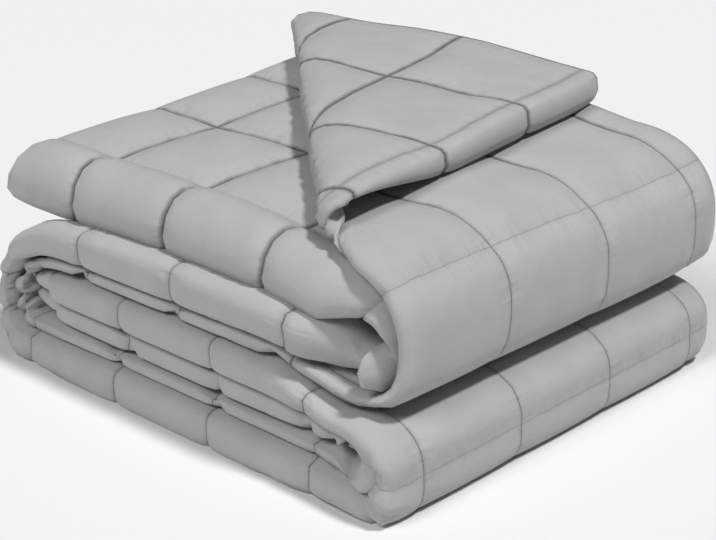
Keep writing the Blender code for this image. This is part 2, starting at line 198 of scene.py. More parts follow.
# ---- Corner turned back ----
# Its fold line over run 1, from (x, y) to (x, y), the half width and half height of the roll along
# that line, how much cloth the roll takes, how far past it the flap settles, and how high the flap
# then lies above the block near the roll and further on, easing in between these distances.
FLAP_TIP = (-0.088, 0.016)
FLAP_FAR = (-0.538, 0.420)
FLAP_ROLL_WIDE = 0.0190
FLAP_ROLL_HIGH = 0.0125
FLAP_TURN = 0.068
FLAP_SETTLE = 0.10
FLAP_LIFT = (0.000, 0.0055)
FLAP_LIFTED_AT = (0.02, 0.16)
# Near that line the pads are squeezed to this share of their height, easing off over this distance,
# and the flap itself grows this much fuller between the distances above.
FLAP_SQUEEZE = 0.78
FLAP_SQUEEZE_REACH = 0.13
FLAP_FULLER = 1.45

# The cloth is evened out round the flap's tip: its place on the flat cloth, the reach along the
# strip (in squares) and across it (in metres), the shares of that reach between which the evening
# eases off, and how many times.
RELAX_AT = 3.42
RELAX_ACROSS = 0.440
RELAX_LONG = 0.45
RELAX_WIDE = 0.085
RELAX_EDGE = (0.6, 1.0)
RELAX_STEPS = 6
# Places on the flat cloth, and where they lie at the flap's tip: its squarish folded end and the
# slit under it. A pin draws the cloth round it along, up to about this many squares away, and the
# cloth is this thick there.
TIP_PINS = (
    # at, across, x, y, z
    (3.22, 0.505, -0.1250, 0.0593, 0.2049),
    (3.31, 0.475, -0.1102, 0.0524, 0.2040),
    (3.43, 0.430, -0.0995, 0.0504, 0.1999),
    (3.17, 0.445, -0.1128, 0.0741, 0.2147),
    (3.28, 0.430, -0.1050, 0.0639, 0.2095),
)
PIN_REACH = 0.18
TIP_THICK = 0.0012

# Places at the lower right turn, and where they lie: the inner cloth's end hangs out of the turn as
# a tongue. These pins reach about this many squares.
TONGUE_PINS = (
    # at, across, x, y, z
    (12.70, 0.379, -0.0368, 0.0000, 0.0347),
    (12.95, 0.379, -0.0256, 0.0010, 0.0523),
    (13.30, 0.379, -0.0358, 0.0040, 0.0621),
)
TONGUE_REACH = 0.24

# Whole parts of the cloth moved a little: the middle's place on the flat cloth, the reach along the
# strip (in squares) and across it (in metres), and how far it moves.
NUDGES = (
    # at, across, reach along, reach across, x, y, z
    # the turned-back corner's back left end and its far edge
    (0.60, 0.884, 1.70, 0.160, -0.001, 0.000, 0.012),
    (0.00, 0.600, 1.00, 0.080, 0.000, 0.000, -0.006),
    # pad A1's hem over the upper turn
    (3.90, 0.090, 0.90, 0.100, 0.000, 0.000, -0.004),
    # the back fold at the lower right turn
    (13.00, 0.884, 1.20, 0.200, -0.006, 0.000, 0.000),
    # the seam crossing at the turned-back corner's fold line
    (2.00, 0.643, 0.60, 0.070, 0.026, -0.023, 0.000),
)

# ---- Creases ----
# Troughs in both faces of the cloth: the middle's place along the strip (in squares) and across it
# (in metres), how far it leans along the strip for each metre across, its half width (in squares),
# its half length (in metres) and its depth (in metres).
CREASES = (
    # left turn, outer cloth
    (7.83, 1.325, 2.0, 0.045, 0.034, 0.0040),
    (8.08, 1.325, -4.0, 0.036, 0.030, 0.0050),
    (8.36, 1.325, -6.0, 0.036, 0.036, 0.0065),
    (8.46, 1.318, -5.0, 0.030, 0.022, 0.0030),
    (8.64, 1.325, -8.0, 0.036, 0.036, 0.0065),
    # left turn, inner cloth
    (7.70, 0.375, -5.0, 0.045, 0.040, 0.0045),
    (7.86, 0.372, 6.0, 0.050, 0.040, 0.0060),
    (8.03, 0.375, -4.0, 0.045, 0.038, 0.0050),
    (8.18, 0.372, 7.0, 0.050, 0.040, 0.0060),
    (8.35, 0.375, -6.0, 0.045, 0.036, 0.0055),
    (8.52, 0.372, 4.0, 0.050, 0.040, 0.0060),
    (8.70, 0.375, -7.0, 0.045, 0.036, 0.0045),
    # upper right turn: the hollow between the cloth's end and run 2
    (4.74, 1.338, 0.0, 0.050, 0.050, 0.0165),
    # lower right turn: the outer cloth's upright creases and the wrinkles beside its end
    (12.63, 1.330, 0.0, 0.034, 0.024, 0.0085),
    (12.76, 1.330, 1.0, 0.030, 0.022, 0.0065),
    (13.04, 1.312, 4.0, 0.040, 0.018, 0.0045),
    (13.20, 1.310, 4.0, 0.036, 0.016, 0.0040),
    # lower right turn: the inner cloth's end, between two deep folds
    (12.50, 0.372, 4.0, 0.060, 0.034, 0.0080),
    (13.56, 0.372, -4.0, 0.060, 0.034, 0.0080),
    (13.80, 0.378, 5.0, 0.045, 0.028, 0.0050),
    # narrow bands at the front, where each square's cloth is tucked under the one beside it
    (5.06, 0.378, -9.0, 0.050, 0.024, 0.0055),
    (6.04, 0.378, -8.0, 0.050, 0.024, 0.0060),
    (7.05, 0.378, -9.0, 0.050, 0.024, 0.0060),
    (9.96, 0.378, 8.0, 0.050, 0.022, 0.0050),
    (11.04, 0.378, 8.0, 0.050, 0.022, 0.0050),
    (14.06, 0.378, 7.0, 0.050, 0.024, 0.0060),
    (15.04, 0.378, 8.0, 0.050, 0.024, 0.0055),
    (15.97, 0.378, 8.0, 0.050, 0.024, 0.0055),
)

# ---- Quilting ----
# How much of the room between its neighbours the cloth fills: along a seam, along a seam where it
# is pulled taut round a turn, along a seam near the strip's first hem (easing off between these
# squares), in the middle of the hem and at its edge, along a seam at the front folds, and in the
# middle of a square.
SEAM_PUFF = 0.04
SEAM_PUFF_TAUT = 0.80
SEAM_PUFF_HEM = 0.80
HEM_EASE = (0.10, 0.60)
HEM_PUFF = 0.68
HEM_THINNEST = 0.05
FRONT_PUFF = 0.72
CROWN_PUFF = 0.98
# The places along the strip between which the cloth is pulled taut, and how far that eases in.
TAUT_TURNS = ((3.9, 4.9), (12.4, 13.7))
TAUT_EASE = 0.3
# How far from a front fold's middle the cloth stops counting as its front, easing off.
FRONT_WIDE = (0.025, 0.065)
# The pillow's section from its seam to its middle: how flat its crown is on the pads and at the
# front folds, and how round its foot.
PILLOW_FLAT = (2.5, 10.0)
PILLOW_FOOT = 0.70

# ---- Mesh ----
# Cells to a square along the strip and across it, in most squares and in those that fold, turn or
# lie inside, and in the border.
CELLS = 11
CELLS_LONG = {
    1: 14, 2: 14, 3: 22, 4: 26, 6: 9, 7: 16, 8: 28, 9: 13,
    10: 8, 11: 8, 12: 26, 13: 24, 14: 14, 15: 8, 16: 9,
}
CELLS_WIDE = {0: 9, 1: 10, 2: 14, 3: 20, 5: 14, 6: 14, 7: 14, 10: 15, 11: 9, 12: 7, 13: 7}
CELLS_BORDER = 4
# How much closer the cells lie at the seams than in the middle of a square. The squares along the
# strip that are creased have even cells.
CROWDED = 0.6
CREASED = (8, 12, 13)
# Inside the block, where only the folds and hems show, the columns crowd towards them.
CROWDS = (
    # across, reach, how much closer
    (0.0, 0.03, 2.0),
    (0.379, 0.045, 8.0),
    (0.884, 0.05, 2.5),
    (1.330, 0.045, 8.0),
    (1.774, 0.03, 2.0),
)
# They do so between these places along the strip, easing in over this many squares.
INNER_RUNS = ((5.0, 7.5), (9.0, 12.2), (13.8, 18.5))
INNER_EASE = 0.8
# Steps in which the crowding and the turns' lengths are added up.
FINE_STEPS = 4001
ARC_STEPS = 600
# The part's own zero point, in the middle of the block's foot, in the runs' coordinates.
BLOCK_CENTRE = (-0.26755, 0.23105, 0.0)
UV_NAME = "flat_cloth"

# ---- Finish ----
CLOTH_LIGHT = (0.412, 0.412, 0.416, 1.0)
CLOTH_DARK = (0.370, 0.370, 0.374, 1.0)
GRAIN_LIGHT = (0.447, 0.447, 0.451, 1.0)
# The colour of the painted shade in and beside the seams' grooves.
GROOVE_SHADE_PAINT = (0.055, 0.055, 0.057, 1.0)
ROUGHNESS = 0.86
SPECULAR = 0.25
SHEEN = 0.18
SHEEN_ROUGHNESS = 0.45
# How far from a seam's middle its dark line and the soft shade beside it fade out (both painted
# shade of the seam's groove), the length of a stitch and the shares of it between which its thread
# ends, how far the seam wanders, and how far the puckers beside it reach.
SEAM_LINE = 0.0007
SEAM_SHADE = 0.0048
STITCH = 0.0032
STITCH_THREAD = (0.55, 0.70)
SEAM_WANDER = 0.0030
PUCKER_REACH = 0.020
# How dark the painted shade of the line and beside it is on every seam, and how much darker on the
# seams on top of the block, whose grooves are pulled deeper, up to these places along the strip.
# How light the thread is.
LINE_DARK = (0.62, 0.25)
SHADE_DARK = (0.16, 0.52)
DEEP_SEAMS = (3.1, 3.9)
THREAD_LIGHT = 0.12
# Seams that barely show in the photograph, as metres along the strip and across it, the share of
# their strength that is left, and the distances from them between which it comes back.
FAINT_ALONG = (4 * SQUARE, 13 * SQUARE)
FAINT_ACROSS = (BORDER + 4 * SQUARE, BORDER + 10 * SQUARE)
FAINT = 0.35
FAINT_REACH = (0.010, 0.020)
# The distance between the cloth's own threads, and how much of the fine relief they are.
THREAD = 0.0009
THREAD_RELIEF = 0.35
# Noise as (repeats to a metre, detail, roughness), the part of it that colours the cloth, and a
# pucker's width as a share of its length.
WANDER_NOISE = (55.0, 2.0, 0.5)
MOTTLE_NOISE = (24.0, 4.0, 0.6)
GRAIN_NOISE = (1500.0, 3.0, 0.6)
PUCKER_NOISE = (105.0, 2.0, 0.5)
SOFT_NOISE = (38.0, 3.0, 0.55)
MOTTLE_PART = (0.35, 0.65)
GRAIN_PART = (0.3, 0.7)
PUCKER_SLIM = 0.16
# Relief as (depth in metres, strength), and how far a stitch stands out of its seam's depth.
SOFT_RELIEF = (0.0030, 0.5)
PUCKER_RELIEF = (0.0045, 0.70)
SEAM_RELIEF = (0.0009, 0.8)
GRAIN_RELIEF = (0.00022, 0.5)
STITCH_RAISED = 0.6

# ---- Stage ----
FLOOR_HALF = 6.0
FLOOR_COLOUR = (0.80, 0.80, 0.80, 1.0)
FLOOR_ROUGHNESS = 0.9
# Lights: the direction each stands in, how wide it looks (in degrees) and its strength.
KEY = ((0.413, 0.088, 0.906), 8.0, 2.35)
FILL = ((0.023, -0.669, 0.743), 25.0, 1.5)
WORLD_STRENGTH = 0.08
# The camera's place in the runs' own coordinates, how far it stands round the block, above it and
# rolled (in degrees), and its lens and sensor (in millimetres).
CAMERA_AT = (0.864, -0.897, 0.735)
CAMERA_TURNS = (44.74, 22.40, -1.05)
LENS = 94.4
SENSOR = 36.0


def smooth(low, high, value):
    """A soft step from 0 at low to 1 at high."""
    t = np.clip((value - low) / (high - low), 0.0, 1.0)
    return t * t * (3.0 - 2.0 * t)


def plateau(start, end, ease, value):
    """1 between start and end, with a soft step inside each of them."""
    return smooth(start, start + ease, value) * (1 - smooth(end - ease, end, value))


def mix(first, second, share):
    return first + (second - first) * share


def curve(places, values, at):
    """Values read at each place on a smooth curve that doesn't overshoot, with level ends."""
    places = np.asarray(places, float)
    values = np.asarray(values, float)
    flat = values.ndim == 1
    values = values[:, None] if flat else values
    steps = np.diff(values, axis=0) / np.diff(places)[:, None]
    slopes = np.zeros_like(values)
    product = steps[:-1] * steps[1:]
    total = np.where(product > 0, steps[:-1] + steps[1:], 1.0)
    slopes[1:-1] = np.where(product > 0, 2 * product / total, 0.0)
    if not flat:
        slopes[0] = steps[0] * (1.0, 0.0)
        slopes[-1] = steps[-1] * (1.0, 0.0)
    index = np.clip(np.searchsorted(places, at, side="right") - 1, 0, len(places) - 2)
    width = (places[index + 1] - places[index])[:, None]
    t = np.clip((at - places[index])[:, None] / width, 0.0, 1.0)
    found = (
        (2 * t**3 - 3 * t**2 + 1) * values[index]
        + (t**3 - 2 * t**2 + t) * slopes[index] * width
        + (3 * t**2 - 2 * t**3) * values[index + 1]
        + (t**3 - t**2) * slopes[index + 1] * width
    )
    return found[:, 0] if flat else found


def read(table, at, column=1):
    """One column of the table at each place."""
    return curve([row[0] for row in table], [row[column] for row in table], at)


def run_track(run, column, at):
    """A run's (x, z) points on the track of one of its height columns."""
    return curve([row[0] for row in run], [(row[1], row[column]) for row in run], at)


def quarter(level_end, upright_end, share, roundness):
    """Points of a quarter turn from the end that heads along X to the end that heads along Z, each
    at its share of the turn's length."""
    angle = np.linspace(0.0, np.pi / 2, ARC_STEPS)
    x = level_end[0] + (upright_end[0] - level_end[0]) * np.sin(angle) ** roundness
    z = upright_end[1] + (level_end[1] - upright_end[1]) * np.cos(angle) ** roundness
    length = np.concatenate([[0.0], np.cumsum(np.hypot(np.diff(x), np.diff(z)))])
    place = np.clip(share, 0.0, 1.0) * length[-1]
    return np.stack([np.interp(place, length, x), np.interp(place, length, z)], axis=1)


def track(face, at):
    """The strip's (x, z) at each place, on its A face (0), its middle (1) or its B face (2)."""
    column = face + 2
    path = np.zeros((len(at), 2))
    for run in (RUN_1, RUN_2, RUN_3, RUN_4):
        inside = (at >= run[0][0]) & (at <= run[-1][0])
        path[inside] = run_track(run, column, at[inside])
    for before, turn, after in (
        (RUN_1, TURN_1_2, RUN_2),
        (RUN_2, TURN_2_3, RUN_3),
        (RUN_3, TURN_3_4, RUN_4),
    ):
        nose_at, round_before, round_after = turn[:3]
        nose = turn[3 + face]
        start_at, end_at = before[-1][0], after[0][0]
        start = (before[-1][1], before[-1][column])
        end = (after[0][1], after[0][column])
        inside = (at > start_at) & (at <= nose_at)
        share = (at[inside] - start_at) / (nose_at - start_at)
        path[inside] = quarter(start, nose, share, round_before)
        inside = (at > nose_at) & (at < end_at)
        share = (end_at - at[inside]) / (end_at - nose_at)
        path[inside] = quarter(end, nose, share, round_after)
    first_at = RUN_1[0][0]
    inside = at < first_at
    start = (RUN_1[0][1], RUN_1[0][column])
    if face == 0:
        hem = HEM_REACH * np.maximum(-at[inside], 0.0)
        out = SQUARE * (first_at - np.maximum(at[inside], 0.0) + hem)
        path[inside] = np.stack([start[0] - out, np.full(len(out), start[1])], axis=1)
    else:
        share = (first_at - at[inside]) / (first_at + HEM)
        path[inside] = quarter(start, NOSE_TIPS[face - 1], share, NOSE_ROUND)
    return path


def tracks(at, depth):
    """The A face, the middle as pads A meet it and as pads B do, and the B face, as (x, z) points."""
    a_face = track(0, at)
    middle = track(1, at)
    b_face = track(2, at)
    even = (smooth(*EVEN_FROM, at) * smooth(*EVEN_DEPTH, depth))[:, None]
    middle = mix(middle, (a_face + b_face) / 2, even)
    loose = (1.0 - smooth(*LOOSE_AT, at))[:, None]
    b_face[:, 1] -= read(TROUGH, at) * np.exp(-(((depth - TROUGH_DEPTH) / TROUGH_REACH) ** 2))
    lifted = a_face - (0.0, LOOSE_PADS)
    return a_face, mix(middle, lifted, loose), middle, b_face


def pillow(from_seam, flat):
    """A pillow's height, from 0 at its seam to 1 in its middle."""
    return (1 - (1 - np.clip(2 * from_seam, 0, 1)) ** flat) ** PILLOW_FOOT


def puff(at, across):
    """The cloth's fullness, 1 where it fills the room between its neighbours."""
    squares_across = (across - BORDER) / SQUARE
    along_cell = np.abs(at - np.round(at))
    across_cell = np.abs(squares_across - np.round(squares_across))
    from_fold = np.minimum(np.abs(across - read(FOLD_A, at)), np.abs(across - read(FOLD_B, at)))
    front = 1 - smooth(*FRONT_WIDE, from_fold)
    flat = mix(*PILLOW_FLAT, front)
    crown = pillow(along_cell, flat) * pillow(across_cell, flat)
    taut = np.zeros_like(at)
    for start, end in TAUT_TURNS:
        taut = np.maximum(taut, plateau(start, end, TAUT_EASE, at))
    seam = mix(mix(SEAM_PUFF, FRONT_PUFF, front), SEAM_PUFF_TAUT, taut)
    seam = mix(np.maximum(seam, SEAM_PUFF_HEM), seam, smooth(*HEM_EASE, at))
    full = mix(seam, CROWN_PUFF, crown)
    edge = np.minimum.reduce([at + HEM, END - at, across / SQUARE, (WIDTH - across) / SQUARE])
    hem = np.sin(np.clip(edge / HEM, 0, 1) * np.pi)
    hem = HEM_PUFF * np.sqrt(np.clip(hem, HEM_THINNEST, 1))
    return np.where(edge < HEM, hem, full)


def fold_cloth(at, across, side, fullness):
    """Where points of the flat blanket lie in the block. side is 1 on the face that shows outside
    at fold A and fold B, and -1 on the other."""
    set_back_a, bulge_a, round_a = (read(FRONT_A, at, column) for column in (1, 2, 3))
    set_back_b, bulge_b, round_b = (read(FRONT_B, at, column) for column in (1, 2, 3))
    fold_a = read(FOLD_A, at)
    fold_b = read(FOLD_B, at)
    front_a = set_back_a + bulge_a
    front_b = set_back_b + bulge_b
    back = BACK_DEPTH - BACK_BULGE

    length_a2 = FOLD_BACK - BACK_BULGE - fold_a - bulge_a
    length_b1 = fold_b - bulge_b - FOLD_BACK - BACK_BULGE
    pad_a1 = mix(HEM_A_DEPTH, front_a, across / (fold_a - bulge_a))
    straight = mix(HEM_A_DEPTH, front_a, across / PAD_A1)
    pad_a1 = mix(straight, pad_a1, smooth(PAD_A1_EASE, fold_a - bulge_a, across))
    pad_a2 = mix(front_a, back, (across - fold_a - bulge_a) / length_a2)
    pad_b1 = mix(back, front_b, (across - FOLD_BACK - BACK_BULGE) / length_b1)
    pad_b2 = mix(front_b, HEM_B_DEPTH, (across - fold_b - bulge_b) / (WIDTH - fold_b - bulge_b))
    near_a = across < (fold_a + FOLD_BACK) / 2
    near_b = across > (fold_b + FOLD_BACK) / 2
    near_back = ~(near_a | near_b)

    centre = np.where(near_a, fold_a, np.where(near_b, fold_b, FOLD_BACK))
    half = np.where(near_a, bulge_a, np.where(near_b, bulge_b, BACK_BULGE))
    roundness = np.where(near_a, round_a, np.where(near_b, round_b, BACK_ROUND))
    swing = np.clip((across - centre) / half, -1.0, 1.0) * np.pi / 2
    before = across < centre
    depth_a = np.maximum(np.where(before, pad_a1, pad_a2), front_a)
    depth_b = np.maximum(np.where(before, pad_b1, pad_b2), front_b)
    depth_back = np.minimum(np.where(before, pad_a2, pad_b1), back)
    flat_depth = np.where(near_a, depth_a, np.where(near_b, depth_b, depth_back))

    # Through the fold: reach is the distance from the fold's centre, 1 at the outer face.
    outside = np.where(near_back, -side, side)
    reach = 0.5 + 0.5 * outside * fullness
    direction = np.where(near_back, 1.0, -1.0)
    depth = flat_depth + direction * half * reach * np.cos(swing) ** roundness

    a_face, middle_a, middle_b, b_face = tracks(at, flat_depth)
    lane = np.where(near_a, 1.0, np.where(near_b, 3.0, 2.0))
    upper = lane_point(lane - reach, near_b, a_face, middle_a, middle_b, b_face)
    lower = lane_point(lane + reach, ~near_a, a_face, middle_a, middle_b, b_face)
    turned = (np.sign(swing) * np.abs(np.sin(swing)) ** roundness + 1) / 2
    place = mix(upper, lower, turned[:, None])
    place[:, 1] -= np.where(near_b, read(FRONT_B, at, 4), 0.0) * np.cos(swing) ** 2 * reach
    points = np.stack([place[:, 0], depth, place[:, 1]], axis=1)

    lifted = np.where(near_a, 1.0, np.where(near_back, (1 - np.sin(swing)) / 2, 0.0))
    lifted = np.where(at < RUN_2[0][0], lifted, 0.0)
    return turn_corner_back(points, lifted, (a_face + middle_a)[:, 1] / 2, middle_b[:, 1])


def lane_point(lane, in_b, a_face, middle_a, middle_b, b_face):
    """A point of the stack: lane 0 is the A face, 2 the middle and 4 the B face."""
    in_a_part = mix(a_face, middle_a, np.clip(lane / 2, 0, 1)[:, None])
    in_b_part = mix(middle_b, b_face, np.clip(lane / 2 - 1, 0, 1)[:, None])
    return np.where(in_b[:, None], in_b_part, in_a_part)


def turn_corner_back(points, lifted, centre_height, base):
    """Rolls what lies in front of the flap's fold line up, over and back onto run 1. lifted is how
    far each point goes along, from 0 to 1, and base is the height that pads A lie on."""
    tip = np.array(FLAP_TIP)
    along = np.array(FLAP_FAR) - tip
    along /= np.linalg.norm(along)
    ahead = np.array((along[1], -along[0])) * np.sign(along[0])
    start = tip - ahead * (FLAP_ROLL_WIDE + LOOSE_PADS / 2)
    offset = points[:, :2] - start
    sideways = offset @ along
    in_front = offset @ ahead
    from_roll = np.abs(in_front - FLAP_TURN / 2)
    squeeze = mix(FLAP_SQUEEZE, 1.0, smooth(0.0, FLAP_SQUEEZE_REACH, from_roll))
    squeeze = mix(1.0, squeeze, lifted)
    centre_height = base + (centre_height - base) * squeeze
    squeezed = base + (points[:, 2] - base) * squeeze
    points = np.stack([points[:, 0], points[:, 1], squeezed], axis=1)
    above = squeezed - centre_height
    angle = np.pi * np.clip(in_front / FLAP_TURN, 0, 1)
    past = np.maximum(in_front - FLAP_TURN, 0)
    shift = (FLAP_ROLL_WIDE - above) * np.sin(angle) - past
    xy = start + sideways[:, None] * along + shift[:, None] * ahead
    rolled = centre_height + FLAP_ROLL_HIGH - (FLAP_ROLL_HIGH - above) * np.cos(angle)
    lift = mix(*FLAP_LIFT, smooth(*FLAP_LIFTED_AT, past))
    above = above * mix(1.0, FLAP_FULLER, smooth(*FLAP_LIFTED_AT, past))
    under = base + (surface_height(xy[:, 0]) - base) * squeeze
    rest = under + lift + LOOSE_PADS / 2 * squeeze - above
    z = mix(rolled, rest, smooth(0.0, FLAP_SETTLE, past))
    moved = np.concatenate([xy, z[:, None]], axis=1)
    share = (lifted * (in_front > 0))[:, None]
    return mix(points, moved, share)


def surface_height(x):
    """Height of pad A1's top in run 1."""
    places = [row[1] for row in RUN_1]
    heights = [row[2] for row in RUN_1]
    return curve(places, heights, x)


def cells(start, size, count, special, border, even=()):
    """Grid lines over all squares and the two borders, closer together at the seams unless the
    square is one of the even ones."""
    lines = list(np.linspace(start - border, start, CELLS_BORDER, endpoint=False))
    for square in range(count):
        steps = special.get(square, CELLS)
        t = np.arange(steps) / steps
        t -= (0.0 if square in even else CROWDED) / (2 * np.pi) * np.sin(2 * np.pi * t)
        lines += list(start + (square + t) * size)
    end = start + count * size
    return np.array(lines + list(np.linspace(end, end + border, CELLS_BORDER + 1)))


def crowded_columns(even):
    """The even columns crowded towards the folds and the hems, where they stay in place."""
    places = np.linspace(0.0, WIDTH, FINE_STEPS)
    density = np.ones(FINE_STEPS)
    for place, reach, more in CROWDS:
        density += more * np.exp(-(((places - place) / reach) ** 2))
    total = np.concatenate([[0.0], np.cumsum((density[1:] + density[:-1]) / 2)])
    fixed = [row[0] for row in CROWDS]
    return np.interp(np.interp(even, fixed, np.interp(fixed, places, total)), total, places)


def tip_share(at, across):
    """How far each place belongs to the flap's tip, from 0 to 1."""
    from_tip = np.hypot((at - RELAX_AT) / RELAX_LONG, (across - RELAX_ACROSS) / RELAX_WIDE)
    return (1 - smooth(*RELAX_EDGE, from_tip))[..., None]


def relax_tip(grid, at, across):
    """Evens out the cloth at the flap's tip, where it twists into the fold, and draws it through
    the pins."""
    share = tip_share(at, across)[1:-1, 1:-1]
    grid = grid.copy()
    for _ in range(RELAX_STEPS):
        around = (grid[:-2, 1:-1] + grid[2:, 1:-1] + grid[1:-1, :-2] + grid[1:-1, 2:]) / 4
        grid[1:-1, 1:-1] += share * (around - grid[1:-1, 1:-1])
    return grid + pinned(grid, at, across, TIP_PINS, PIN_REACH)


def pinned(grid, at, across, pins, reach):
    """How far the cloth moves so that it passes through each pinned point."""
    places = np.array([row[:2] for row in pins]) / (1.0, SQUARE)
    targets = np.array([row[2:] for row in pins])
    cloth = np.stack([at, across / SQUARE], -1)
    nearest = [np.argmin(np.hypot(*(cloth.reshape(-1, 2) - place).T)) for place in places]
    gaps = targets - grid.reshape(-1, 3)[nearest]

    def pull(first):
        squared = ((first[..., None, :] - places) ** 2).sum(-1)
        return np.exp(-squared / reach**2)

    return pull(cloth) @ np.linalg.solve(pull(places), gaps)


def nudged(at, across):
    """How far the nudges move each place."""
    total = np.zeros((*at.shape, 3))
    for place, middle, long, wide, *move in NUDGES:
        share = np.exp(-(((at - place) / long) ** 2) - ((across - middle) / wide) ** 2)
        total += share[..., None] * move
    return total


def outward(grid):
    """The direction away from the cloth's middle at each point of its outer face."""
    normal = np.cross(np.gradient(grid, axis=1), np.gradient(grid, axis=0))
    return normal / np.linalg.norm(normal, axis=2, keepdims=True)


def inner_tip(outer, inner, at, across):
    """The cloth's inner face at the flap's tip, an even way behind its outer face."""
    return mix(inner, outer - outward(outer) * TIP_THICK, tip_share(at, across))


def crease_depth(at, across):
    """How far the creases press each place in."""
    depth = np.zeros_like(at)
    for place, middle, lean, wide, long, deep in CREASES:
        off = at - place - lean * (across - middle)
        depth += deep * np.exp(-((off / wide) ** 2) - ((across - middle) / long) ** 2)
    return depth[..., None]


def cloth_grid():
    """The flat places (at, across) of the grid's points, finer where the cloth folds or turns."""
    rows = cells(0.0, 1.0, SQUARES_LONG, CELLS_LONG, HEM, CREASED)
    even = cells(BORDER, SQUARE, SQUARES_WIDE, CELLS_WIDE, BORDER)
    inside = np.zeros_like(rows)
    for start, end in INNER_RUNS:
        inside = np.maximum(inside, plateau(start, end, INNER_EASE, rows))
    across = mix(even[None, :], crowded_columns(even)[None, :], inside[:, None])
    return np.repeat(rows[:, None], across.shape[1], axis=1), across


def folded_faces(at, across):
    """The cloth's outer and inner faces as it lies in the block, as grids of points."""
    flat = at.ravel(), across.ravel()
    fullness = puff(*flat)
    outer, inner = (fold_cloth(*flat, side, fullness).reshape(*at.shape, 3) for side in (1, -1))
    outer = relax_tip(outer, at, across)
    inner = inner_tip(outer, inner, at, across)
    move = nudged(at, across) + pinned(outer, at, across, TONGUE_PINS, TONGUE_REACH)
    move -= outward(outer) * crease_depth(at, across)
    return outer + move, inner + move


def closed_quads(shape):
    """Quads over the outer grid, over the inner one numbered after it, and along their rim."""
    grid = np.arange(shape[0] * shape[1]).reshape(shape)
    quads = np.stack([grid[:-1, :-1], grid[1:, :-1], grid[1:, 1:], grid[:-1, 1:]], -1).reshape(-1, 4)
    rim = np.concatenate([grid[:, 0], grid[-1, 1:], grid[-2::-1, -1], grid[0, -2:0:-1]])
    after = np.roll(rim, -1)
    edge = np.stack([after, rim, rim + grid.size, after + grid.size], -1)
    return np.concatenate([quads, quads[:, ::-1] + grid.size, edge])


def build_mesh(name):
    """The cloth as one closed mesh, with each point's place on the flat cloth as its UV."""
    at, across = cloth_grid()
    outer, inner = folded_faces(at, across)
    points = np.concatenate([outer.reshape(-1, 3), inner.reshape(-1, 3)]) - BLOCK_CENTRE
    points[:, 2] = np.maximum(points[:, 2], 0.0)
    faces = closed_quads(at.shape)
    mesh = bpy.data.meshes.new(name)
    mesh.vertices.add(len(points))
    mesh.vertices.foreach_set("co", points.ravel())
    mesh.loops.add(faces.size)
    mesh.loops.foreach_set("vertex_index", faces.ravel())
    mesh.polygons.add(len(faces))
    mesh.polygons.foreach_set("loop_start", np.arange(len(faces)) * 4)
    flat = np.stack([at.ravel() * SQUARE, across.ravel()], -1)
    uv = mesh.uv_layers.new(name=UV_NAME)
    uv.uv.foreach_set("vector", flat[faces.ravel() % at.size].ravel())
    mesh.polygons.foreach_set("use_smooth", np.ones(len(faces), bool))
    mesh.update(calc_edges=True)
    mesh.validate()
    return mesh


class Nodes:
    """Adds math and texture nodes to one material."""

    def __init__(self, material):
        self.tree = material.node_tree

    def add(self, kind, settings=(), inputs=()):
        node = self.tree.nodes.new(kind)
        for name, value in settings:
            setattr(node, name, value)
        for name, value in inputs:
            if isinstance(value, bpy.types.NodeSocket):
                self.tree.links.new(value, node.inputs[name])
            else:
                node.inputs[name].default_value = value
        return node

    def math(self, operation, *values):
        return self.add("ShaderNodeMath", [("operation", operation)], enumerate(values)).outputs[0]

    def noise(self, vector, scale, detail, roughness):
        inputs = [("Vector", vector), ("Scale", scale), ("Detail", detail), ("Roughness", roughness)]
        return self.add("ShaderNodeTexNoise", (), inputs).outputs["Fac"]

    def vector(self, x, y, z=0.0):
        return self.add("ShaderNodeCombineXYZ", (), [("X", x), ("Y", y), ("Z", z)]).outputs[0]

    def ramp(self, value, low, high, to_low=0.0, to_high=1.0):
        inputs = [("Value", value), ("From Min", low), ("From Max", high)]
        inputs += [("To Min", to_low), ("To Max", to_high)]
        return self.add("ShaderNodeMapRange", [("interpolation_type", "SMOOTHSTEP")], inputs).outputs[0]

    def colour(self, share, first, second):
        inputs = [(0, share), (6, first), (7, second)]
        return self.add("ShaderNodeMix", [("data_type", "RGBA")], inputs).outputs[2]

    def bump(self, height, distance, strength, normal=None):
        inputs = [("Height", height), ("Distance", distance), ("Strength", strength)]
        if normal is not None:
            inputs.append(("Normal", normal))
        return self.add("ShaderNodeBump", (), inputs).outputs[0]


def from_seam(nodes, place, start):
    """Distance in metres to the nearest seam at start, start + SQUARE and so on."""
    squares = nodes.math("MULTIPLY_ADD", place, 1 / SQUARE, 0.5 - start / SQUARE)
    cell = nodes.math("SUBTRACT", nodes.math("FRACT", squares), 0.5)
    return nodes.math("MULTIPLY", nodes.math("ABSOLUTE", cell), SQUARE)


def strength(nodes, place, faint):
    """How strongly seams show at a place, less on the faint ones."""
    shown = 1.0
    for seam in faint:
        off = nodes.math("ABSOLUTE", nodes.math("SUBTRACT", place, seam))
        shown = nodes.math("MULTIPLY", nodes.ramp(off, *FAINT_REACH, FAINT, 1.0), shown)
    return shown


def puckers_beside(nodes, seam, place):
    """Puckers that fade away from a seam."""
    near = nodes.ramp(seam, 0.0, PUCKER_REACH, 1.0, 0.0)
    return nodes.math("MULTIPLY", nodes.noise(place, *PUCKER_NOISE), near)


